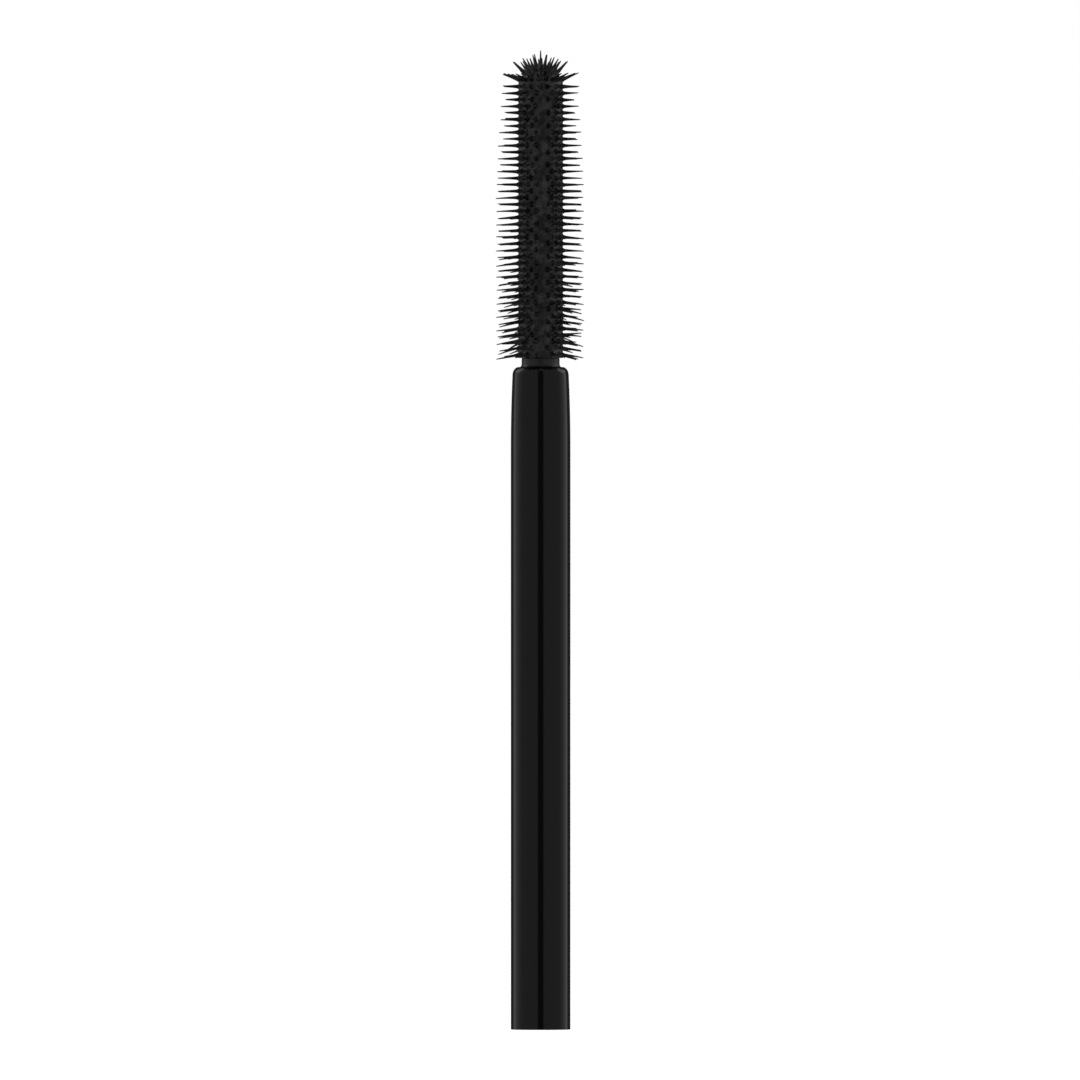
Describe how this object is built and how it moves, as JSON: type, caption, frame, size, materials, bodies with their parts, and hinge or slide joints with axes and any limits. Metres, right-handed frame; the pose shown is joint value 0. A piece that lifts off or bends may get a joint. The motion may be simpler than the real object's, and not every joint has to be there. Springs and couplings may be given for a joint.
{
  "type": "mascara wand",
  "caption": "Slim hollow stem with a spiky moulded brush snapped into its upper end and a socket for a cap in its flat lower end.",
  "frame": {"origin": "centre of the stem's flat lower end, where the cap goes on", "axes": "+Z along the wand from the cap's end to the brush's tip; bare strips of the brush face -Y, +X, +Y and -X"},
  "size_m": [0.0068, 0.0068, 0.0783],
  "materials": {
    "stem": "gloss",
    "brush_core": "satin",
    "bristle_sleeve": "satin"
  },
  "bodies": {
    "root": {"stem": "stem", "brush_core": "brush_core", "bristle_sleeve": "bristle_sleeve"}
  },
  "joints": []
}
